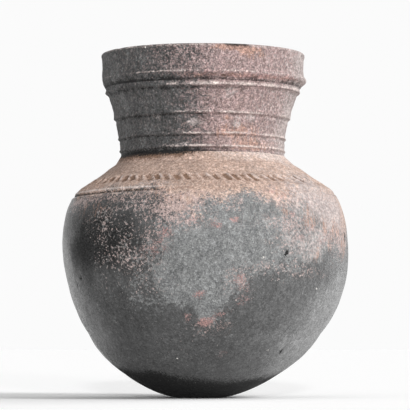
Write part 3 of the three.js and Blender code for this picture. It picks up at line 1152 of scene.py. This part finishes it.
class JAR_OT_rim_collar(bpy.types.Operator):
    """Model the collar of the mouth with its flange, band and thickened lip"""

    bl_idname = "jar.rim_collar"
    bl_label = "Rim collar"

    FLANGE_PROUD = 1.2 * MM
    FLANGE_RISE = 6.8 * MM
    LIP_PROUD = 0.7 * MM
    LIP_ROLL = 0.9 * MM  # rolled up over its section
    STEP = 0.7 * MM

    def outline(self, wall):
        """Radius and height of the stations round the collar, and how many of them are outside and on its
        lip."""
        foot = wall.joints.collar + 0.06 * MM
        lap = wall.outline.lap
        top = wall.outline.height + self.LIP_ROLL
        crease = wall.outline.crease_height
        band = wall.outline.collar_radius
        lip = band + self.LIP_PROUD
        inner_lip = wall.place(wall.run[-1], INNER)[0]
        face = [
            wall.place(foot, OUTER),
            (band + self.FLANGE_PROUD - 0.3 * MM, crease + self.FLANGE_RISE - 0.4 * MM),
            (band + self.FLANGE_PROUD, crease + self.FLANGE_RISE + 0.5 * MM),
            (band + 0.2 * MM, crease + self.FLANGE_RISE + 3.2 * MM),
            (band - 0.4 * MM, crease + 17 * MM),
            (band, top - 4.6 * MM),
            (lip, top - 3.2 * MM),
            (lip, top - 1.2 * MM),
            (lip - 1.4 * MM, top),
            (inner_lip + 1.8 * MM, top),
            (inner_lip, top - 1.6 * MM),
        ]
        outer = soften(respaced(face, self.STEP), 2)
        inner = wall.place(np.linspace(wall.run[-1] - 3 * MM, foot + lap, 6), INNER)
        bevel_depths = np.linspace(INNER, OUTER, BEVEL_STATIONS)[1:]
        bevel = wall.place(foot + lap * bevel_depths, bevel_depths)
        return np.vstack([outer, inner, bevel]), len(outer)

    def execute(self, context):
        wall = Wall()
        drawn, outer_count = self.outline(wall)
        surface = Surface(spin_outline(draw_outline("clay_rim_collar", drawn), NECK_SEGMENTS))
        turn, station = surface.turn, surface.station
        radius, height = drawn[station].T
        out, rise = outer_normals(np.gradient(drawn, axis=0))[station].T
        points = surface.place(radius, height)
        on_face = (station < outer_count) * 1.0
        from_flange = height - (wall.outline.crease_height + self.FLANGE_RISE)
        from_lip = height - wall.outline.height
        uneven = hand_unevenness(points, 0.5 * context.scene.jar_relief.uneven)
        lines = thrown_lines(points, 0.14 * MM, seed=67) * smoothstep(out, 0.2, 0.7)
        flange_wave = 1.4 * MM * np.sin(turn) * bump(from_flange, 3 * MM)
        chipped = 0.5 * MM * smoothstep(drift(points, 9 * MM, seed=68), 0.45, 0.8) * bump(from_lip, 2 * MM)
        relief = on_face * (uneven + lines + flange_wave - chipped)
        points = surface.place(radius + out * relief, height + rise * relief)
        rubbed = 0.4 + 0.3 * drift(points * (1, 1, 0), 14 * MM, seed=69)
        worn_flange = rubbed * bump(from_flange - 0.9 * MM, 0.8 * MM)
        crease = bump(height - wall.outline.crease_height, 2.6 * MM)
        bevel = bump(from_flange + 2.6 * MM, 2.2 * MM)
        left = towards_left(turn, -25, 5)
        chip = RIM_CHIP[-1] * patch_cover(turn, height, RIM_CHIP)
        marks = neck_marks(points, turn, height)
        marks["inside"] = 1 - on_face * (1 - smoothstep(-out, 0.3, 0.8))
        # Pale worn clay and painted highlight along the edge of the flange and on the lip.
        marks["worn"] = np.maximum(worn_flange, 0.4 * bump(from_lip, 1.2 * MM))
        # Painted shade in the crease under the collar, stronger on the left, and on the underside of the
        # flange; the chip is real.
        marks["grime_and_shade"] = (0.55 + 0.35 * left) * crease + 0.25 * bevel + chip
        marks["rust"] = marks["rust"] + 0.4 * (1 - left) * bevel
        marks["ember"] = marks["ember"] + 0.5 * (1 - left) * bevel
        surface.write(points, marks)
        finish_piece(surface.piece, "rim_collar", smoked_earthenware())
        return {"FINISHED"}


def new_tree(owner):
    """The node tree of a new material or world, emptied."""
    owner.use_nodes = True
    owner.node_tree.nodes.clear()
    return owner.node_tree


def add_node(tree, kind, links=None, **settings):
    """Adds a node with its settings. A link feeds a socket, by name or number, from a node, a socket or a
    value."""
    node = tree.nodes.new(kind)
    for name, value in settings.items():
        setattr(node, name, value)
    live = [socket for socket in node.inputs if socket.enabled]
    for key, source in (links or {}).items():
        socket = live[key] if isinstance(key, int) else next(s for s in live if s.name == key)
        if isinstance(source, bpy.types.Node):
            source = next(output for output in source.outputs if output.enabled)
        if isinstance(source, bpy.types.NodeSocket):
            tree.links.new(source, socket)
        else:
            socket.default_value = source
    return node


def rgba(value):
    return (*value, 1)


MARKS = ["ash", "rose", "speck", "ember", "rust", "haze", "lime", "bare", "soot_and_shade", "tone_and_painted_light", "inside", "worn"]
MARKS += ["grime_and_shade"]
# Patterns in the clay and on it: size in mm, how many times as tall as wide, detail and roughness of a noise.
# Each gives three lots from 0 to 1 at every point. The grain is drawn a little coarser than real sand, so
# that it shows.
PATTERNS = {
    "grain": (1.15, 1, 2.0, 0.6),
    "clot": (2.5, 1, 2.0, 0.55),
    "blotch": (6.5, 1, 4.0, 0.62),
    "patch": (16, 1, 3.0, 0.55),
    "streak": (2.6, 7, 3.0, 0.5),
}
NOISE_MIDDLE = (0.32, 0.68)  # where most values of a noise lie: this is spread over 0 to 1
STREAK_SPREAD = 0.4  # how much darker or paler a burnished streak is, of TONE_MOST
SAND_SHAKE = 1.7 * MM  # size of the noise that shakes the sand
GRAIN_PROUD = 0.22 * MM


def clay_lots(tree, place, grit):
    """The lots that the patterns in the clay and its sand draw at every point."""
    lot = {}
    low, high = ((end,) * 3 for end in NOISE_MIDDLE)
    for pattern, (size, tall, detail, roughness) in PATTERNS.items():
        links = {0: place, 1: (1, 1, 1 / tall)}
        drawn_out = add_node(tree, "ShaderNodeVectorMath", links, operation="MULTIPLY")
        links = {"Vector": drawn_out, "Scale": 1 / (size * MM), "Detail": detail, "Roughness": roughness}
        noise = add_node(tree, "ShaderNodeTexNoise", links)
        links = {"Vector": noise.outputs["Color"], "From Min": low, "From Max": high}
        smooth = {"data_type": "FLOAT_VECTOR", "interpolation_type": "SMOOTHSTEP"}
        spread = add_node(tree, "ShaderNodeMapRange", links, **smooth)
        parts = add_node(tree, "ShaderNodeSeparateColor", {"Color": spread}).outputs
        lot.update({pattern + str(index): part for index, part in enumerate(parts, 1)})
    # The sand is a fine mosaic shaken by a noise. Each cell draws its lots, and its middle is a grain.
    shake = add_node(tree, "ShaderNodeTexNoise", {"Vector": place, "Scale": 1 / SAND_SHAKE, "Detail": 2.0})
    links = {0: shake.outputs["Color"], 1: (1.5 * grit,) * 3, 2: place}
    shaken = add_node(tree, "ShaderNodeVectorMath", links, operation="MULTIPLY_ADD")
    sand = add_node(tree, "ShaderNodeTexVoronoi", {"Vector": shaken, "Scale": 1 / grit})
    parts = add_node(tree, "ShaderNodeSeparateColor", {"Color": sand.outputs["Color"]}).outputs
    lot.update({"sand" + str(index): part for index, part in enumerate(parts, 1)})
    links = {"Value": sand.outputs["Distance"], "From Min": 0.15, "From Max": 0.75}
    rim = add_node(tree, "ShaderNodeMapRange", links)
    for index in "12":
        links = {0: lot["sand" + index], 1: rim}
        lot["speck" + index] = add_node(tree, "ShaderNodeMath", links, operation="MAXIMUM")
    return lot


def laid_over(tree, colour_now, coats, mark, lot):
    """A colour with coats laid on it, one over the other."""
    for key, coat, first, second, share, soft, strength in coats:
        mixed = add_node(tree, "ShaderNodeMix", {"Factor": share, "A": lot[second], "B": lot[first]})
        lots = add_node(tree, "ShaderNodeMapRange", {"Value": mixed, "From Min": 0.12, "From Max": 0.88})
        reach = add_node(tree, "ShaderNodeMath", {0: mark[key], 1: 1 + soft}, operation="MULTIPLY")
        over = add_node(tree, "ShaderNodeMath", {0: reach, 1: lots}, operation="SUBTRACT")
        links = {"Value": over, "From Min": 0.0, "From Max": soft, "To Min": 0.0, "To Max": strength}
        cover = add_node(tree, "ShaderNodeMapRange", links)
        links = {"Factor": cover, "A": colour_now, "B": coat}
        colour_now = add_node(tree, "ShaderNodeMix", links, data_type="RGBA")
    return colour_now


def skin_roughness(tree, mark, lot, gloss, rough):
    """Burnished skin is smooth between its pores, and where it is worn through in specks its sheen is broken.
    Ash, soot, bare clay and the inside are matt."""
    links = {"Value": mark["speck"], "From Max": 0.25, "To Min": gloss + 0.3, "To Max": 0.95}
    pores = add_node(tree, "ShaderNodeMapRange", links)
    mottle = add_node(tree, "ShaderNodeMix", {"Factor": 0.5, "A": lot["clot3"], "B": lot["grain2"]})
    links = {"Value": mottle, "From Min": 0.1, "From Max": 0.75, "To Min": pores, "To Max": gloss}
    rubbed = add_node(tree, "ShaderNodeMapRange", links)
    matt = mark["inside"]
    for key in ("ash", "bare", "soot_and_shade"):
        matt = add_node(tree, "ShaderNodeMath", {0: matt, 1: mark[key]}, operation="MAXIMUM")
    return add_node(tree, "ShaderNodeMapRange", {"Value": matt, "To Min": rubbed, "To Max": rough})


def clay_material(name, bare, bare_shade, dirt_and_shade, blend, grit, gloss, rough, shine, contrast):
    """Low-fired clay with what the fire left on it. The bare colours are those of clay that the smoke has
    left, and blend is how softly its grains pass into the smoked ones. Its dirt colour is laid in its
    hollows, as dirt and painted shade, and grit is the size of its sand. Gloss and rough are the roughness of
    its rubbed skin and of its matt places."""
    if name in bpy.data.materials:
        return bpy.data.materials[name]
    clay = bpy.context.scene.jar_clay
    material = bpy.data.materials.new(name)
    tree = new_tree(material)
    place = add_node(tree, "ShaderNodeTexCoord").outputs["Object"]
    mark = {key: add_node(tree, "ShaderNodeAttribute", attribute_name=key).outputs["Fac"] for key in MARKS}
    lot = clay_lots(tree, place, grit)
    # The smoked skin, streaked by the pebble that burnished it, and darker or paler by its tone, which also
    # holds painted shade and painted sheen.
    dark, pale = TONE_MOST - STREAK_SPREAD, TONE_MOST + STREAK_SPREAD
    streaks = add_node(tree, "ShaderNodeMapRange", {"Value": lot["streak1"], "To Min": dark, "To Max": pale})
    shade = add_node(tree, "ShaderNodeMath", {0: mark["tone_and_painted_light"], 1: streaks}, operation="MULTIPLY")
    skin = add_node(tree, "ShaderNodeVectorMath", {0: clay.charcoal, "Scale": shade}, operation="SCALE")
    # Bare clay and ash, each with darker grains, and specks from grey to pink.
    mottle = add_node(tree, "ShaderNodeMix", {"Factor": 0.5, "A": lot["clot3"], "B": lot["grain3"]})
    links = {"Factor": mottle, "A": rgba(bare_shade), "B": rgba(bare)}
    bare_clay = add_node(tree, "ShaderNodeMix", links, data_type="RGBA")
    mottle = add_node(tree, "ShaderNodeMix", {"Factor": 0.6, "A": lot["blotch2"], "B": lot["grain1"]})
    links = {"Factor": mottle, "A": rgba(clay.ash_shade), "B": rgba(clay.ash)}
    ash_coat = add_node(tree, "ShaderNodeMix", links, data_type="RGBA")
    links = {"Factor": lot["clot2"], "A": rgba(clay.ash), "B": rgba(clay.rose)}
    speck_clay = add_node(tree, "ShaderNodeMix", links, data_type="RGBA")
    # What lies on the skin: mark, colour, the two patterns that break up its edge, the share of the first,
    # how soft each grain of it is, and how well it covers.
    coats = [
        ("bare", bare_clay, "grain1", "clot1", 0.5, blend, 1.0),
        ("ash", ash_coat, "clot2", "patch2", 0.6, 0.4, 0.92),
        ("rose", rgba(clay.rose), "grain3", "clot3", 0.5, 0.3, 0.8),
        ("speck", speck_clay, "speck1", "clot1", 0.5, 0.25, 0.95),
        ("ember", rgba(clay.ember), "grain1", "blotch2", 0.6, 0.5, 0.7),
        ("rust", rgba(clay.rust), "streak2", "grain3", 0.6, 0.5, 0.7),
        ("haze", rgba(clay.ash_pale), "grain2", "clot1", 0.5, 0.6, 0.85),
        # This coat is pale worn clay and painted highlights; the grime and soot coats below it are dirt, soot
        # and painted shade.
        ("worn", rgba(clay.crest), "grain3", "patch3", 0.6, 0.6, 0.85),
        ("grime_and_shade", rgba(dirt_and_shade), "grain1", "blotch1", 0.6, 0.7, 0.9),
        ("soot_and_shade", rgba(clay.soot_and_shade), "grain2", "grain3", 0.5, 0.5, 0.97),
        ("lime", rgba(clay.lime), "speck2", "blotch1", 1.0, 0.02, 0.8),
        ("inside", rgba(clay.inside), "grain1", "grain2", 0.5, 0.3, 1.0),
    ]
    colour_now = laid_over(tree, skin, coats, mark, lot)
    # Every grain is a little lighter or darker than the next, and so is every patch.
    shades = [
        ("sand3", 0.45 * contrast),
        ("grain2", 0.4 * contrast),
        ("clot2", 0.3 * contrast),
        ("blotch1", 0.1),
        ("patch3", 0.08),
    ]
    for key, depth in shades:
        links = {"Value": lot[key], "To Min": 1 - depth, "To Max": 1 + depth}
        links = {0: colour_now, "Scale": add_node(tree, "ShaderNodeMapRange", links)}
        colour_now = add_node(tree, "ShaderNodeVectorMath", links, operation="SCALE")
    roughness = skin_roughness(tree, mark, lot, gloss, rough)
    grain_height = add_node(tree, "ShaderNodeMath", {0: lot["grain2"], 1: lot["sand3"]}, operation="ADD")
    links = {"Strength": contrast, "Distance": GRAIN_PROUD, "Height": grain_height}
    grain_bump = add_node(tree, "ShaderNodeBump", links)
    links = {"Base Color": colour_now, "Roughness": roughness, "Normal": grain_bump}
    links["Specular IOR Level"] = shine
    surface = add_node(tree, "ShaderNodeBsdfPrincipled", links)
    add_node(tree, "ShaderNodeOutputMaterial", {"Surface": surface})
    return material


def burnished_earthenware():
    """Clay rubbed with a pebble and smoked black: dense and dark, with a soft sheen that catches at the
    edges."""
    clay = bpy.context.scene.jar_clay
    look = {"blend": 0.3, "grit": 1.3 * MM, "gloss": 0.2, "rough": 0.8, "shine": 0.3, "contrast": 0.5}
    return clay_material("burnished_earthenware", clay.buff, clay.buff_shade, clay.soot_and_shade, **look)


def tan_earthenware():
    """Bare low-fired clay, sandy and quite matt, warm tan with brown dirt and painted shade in its hollows.
    """
    clay = bpy.context.scene.jar_clay
    look = {"blend": 0.3, "grit": 1.1 * MM, "gloss": 0.5, "rough": 0.85, "shine": 0.5, "contrast": 0.55}
    return clay_material("tan_earthenware", clay.tan, clay.tan_shade, clay.dirt_and_shade, **look)


def smoked_earthenware():
    """Turned clay with sand in it, smoked from one side: gritty, and speckled grain by grain."""
    clay = bpy.context.scene.jar_clay
    look = {"blend": 0.8, "grit": 1.0 * MM, "gloss": 0.5, "rough": 0.85, "shine": 0.25, "contrast": 0.8}
    return clay_material("smoked_earthenware", clay.mauve, clay.mauve_shade, clay.soot_and_shade, **look)


FLOOR_SIDE = 60  # metres, so that its far edge lies at the horizon
FLAG_SPAN = (-128, 45)  # degrees round from the camera towards the right
FLAG_RADIUS, FLAG_HEIGHT = 4, 5  # metres
ROOM_LIGHT = 0.25


class JAR_OT_stage(bpy.types.Operator):
    """Set the floor, the lamps, the backdrop and the camera"""

    bl_idname = "jar.stage"
    bl_label = "Stage"

    def execute(self, context):
        stage = context.scene.jar_stage
        self.make_floor(stage)
        self.make_flag()
        self.make_world(stage)
        self.make_lamps()
        self.make_camera(stage)
        context.scene.view_settings.view_transform = "Standard"
        return {"FINISHED"}

    def seen_rays(self, tree):
        """1 for the rays that show the studio to the eye: straight, in the gloss or through something."""
        path = add_node(tree, "ShaderNodeLightPath").outputs
        seen = path["Is Camera Ray"]
        for ray in ("Is Glossy Ray", "Is Transmission Ray"):
            seen = add_node(tree, "ShaderNodeMath", {0: seen, 1: path[ray]}, operation="MAXIMUM")
        return seen

    def make_floor(self, stage):
        bpy.ops.object.select_all(action="DESELECT")
        bpy.ops.mesh.primitive_plane_add(size=FLOOR_SIDE, location=(0, 0, 0))
        floor = bpy.context.active_object
        floor.name = "floor"
        material = bpy.data.materials.new("pale_paper")
        tree = new_tree(material)
        seen = tuple(part * stage.floor_lift for part in stage.floor)
        links = {"Factor": self.seen_rays(tree), "A": rgba(stage.floor), "B": rgba(seen)}
        colour_seen = add_node(tree, "ShaderNodeMix", links, data_type="RGBA")
        surface = add_node(tree, "ShaderNodeBsdfDiffuse", {"Color": colour_seen})
        add_node(tree, "ShaderNodeOutputMaterial", {"Surface": surface})
        floor.data.materials.append(material)

    def make_flag(self):
        """A black flag round the front and the left, seen by the gloss alone: the dark side of the studio."""
        bpy.ops.object.select_all(action="DESELECT")
        bpy.ops.mesh.primitive_plane_add(size=1)
        flag = bpy.context.active_object
        flag.name = "flag"
        bpy.ops.object.mode_set(mode="EDIT")
        bpy.ops.mesh.delete(type="ONLY_FACE")
        bpy.ops.mesh.select_all(action="SELECT")
        bpy.ops.mesh.merge(type="CENTER")
        begin, end = math.radians(FLAG_SPAN[0]), math.radians(FLAG_SPAN[1])
        foot = (FLAG_RADIUS * math.sin(begin), -FLAG_RADIUS * math.cos(begin), 0)
        bpy.ops.transform.translate(value=foot)
        bpy.ops.mesh.extrude_vertices_move(TRANSFORM_OT_translate={"value": (0, 0, FLAG_HEIGHT)})
        bpy.ops.mesh.select_all(action="SELECT")
        bpy.ops.mesh.spin(steps=24, angle=begin - end, center=(0, 0, 0), axis=(0, 0, 1))
        bpy.ops.object.mode_set(mode="OBJECT")
        material = bpy.data.materials.new("black_flag")
        tree = new_tree(material)
        surface = add_node(tree, "ShaderNodeBsdfDiffuse", {"Color": (0.01, 0.01, 0.01, 1)})
        add_node(tree, "ShaderNodeOutputMaterial", {"Surface": surface})
        flag.data.materials.append(material)
        flag.visible_camera = flag.visible_diffuse = flag.visible_shadow = False

    def make_world(self, stage):
        """A white room: the camera and the glossy skin see it white, and it lights the jar from all round."""
        world = bpy.data.worlds.new("white_room")
        bpy.context.scene.world = world
        tree = new_tree(world)
        seen_light = add_node(tree, "ShaderNodeBackground", {"Color": rgba(stage.backdrop), "Strength": 1.0})
        room_light = add_node(tree, "ShaderNodeBackground", {"Color": (1, 1, 1, 1), "Strength": ROOM_LIGHT})
        mixed = add_node(tree, "ShaderNodeMixShader", {0: self.seen_rays(tree), 1: room_light, 2: seen_light})
        add_node(tree, "ShaderNodeOutputWorld", {"Surface": mixed})

    def make_lamps(self):
        """Soft lamps far away, so that they light the whole floor alike: how far round from the camera to the
        right, how high, how wide they look, all in degrees, and their strength."""
        lamps = [
            ("key_lamp", 60, 35, 25, 1.8),
            ("right_backdrop_lamp", 125, 20, 50, 1.3),
            ("top_lamp", 0, 78, 60, 0.3),
            ("front_lamp", 1, 10, 3, 1.5),
            ("front_right_lamp", 10, 9, 5, 0.6),
        ]
        for name, degrees_round, high, wide, strength in lamps:
            aim = (math.radians(90 - high), 0, math.radians(degrees_round))
            bpy.ops.object.light_add(type="SUN", location=(0, 0, 1), rotation=aim)
            lamp = bpy.context.active_object
            lamp.name = name
            lamp.data.angle = math.radians(wide)
            lamp.data.energy = strength

    def make_camera(self, stage):
        bpy.ops.object.camera_add(
            location=(stage.camera_aside, -stage.camera_distance, stage.camera_height),
            rotation=(math.radians(90 + stage.camera_pitch), 0, 0),
        )
        camera = bpy.context.active_object
        camera.name = "camera"
        camera.data.lens = stage.camera_lens
        camera.data.sensor_width = SENSOR_WIDTH
        bpy.context.scene.camera = camera


class JAR_PT_panel(bpy.types.Panel):
    """The steps of the jar, in the order in which they are made"""

    bl_idname = "JAR_PT_panel"
    bl_label = "Terracotta jar"
    bl_space_type = "VIEW_3D"
    bl_region_type = "UI"
    bl_category = "Jar"

    def draw(self, context):
        for operator in OPERATORS:
            self.layout.operator(operator.bl_idname)


GROUPS = {"jar_outline": JarOutline, "jar_relief": JarRelief, "jar_clay": JarClay, "jar_stage": JarStage}
OPERATORS = [
    JAR_OT_base_bowl,
    JAR_OT_belly_rings,
    JAR_OT_shoulder_ring,
    JAR_OT_neck,
    JAR_OT_rim_collar,
    JAR_OT_stage,
]


def register():
    for cls in [*GROUPS.values(), *OPERATORS, JAR_PT_panel]:
        bpy.utils.register_class(cls)
    for name, group in GROUPS.items():
        setattr(bpy.types.Scene, name, bpy.props.PointerProperty(type=group))


def unregister():
    for name in GROUPS:
        delattr(bpy.types.Scene, name)
    for cls in [JAR_PT_panel, *reversed(OPERATORS), *reversed(GROUPS.values())]:
        bpy.utils.unregister_class(cls)


def main():
    register()
    bpy.ops.jar.stage()
    bpy.ops.jar.base_bowl()
    bpy.ops.jar.belly_rings()
    bpy.ops.jar.shoulder_ring()
    bpy.ops.jar.neck()
    bpy.ops.jar.rim_collar()


if __name__ == "__main__":
    main()
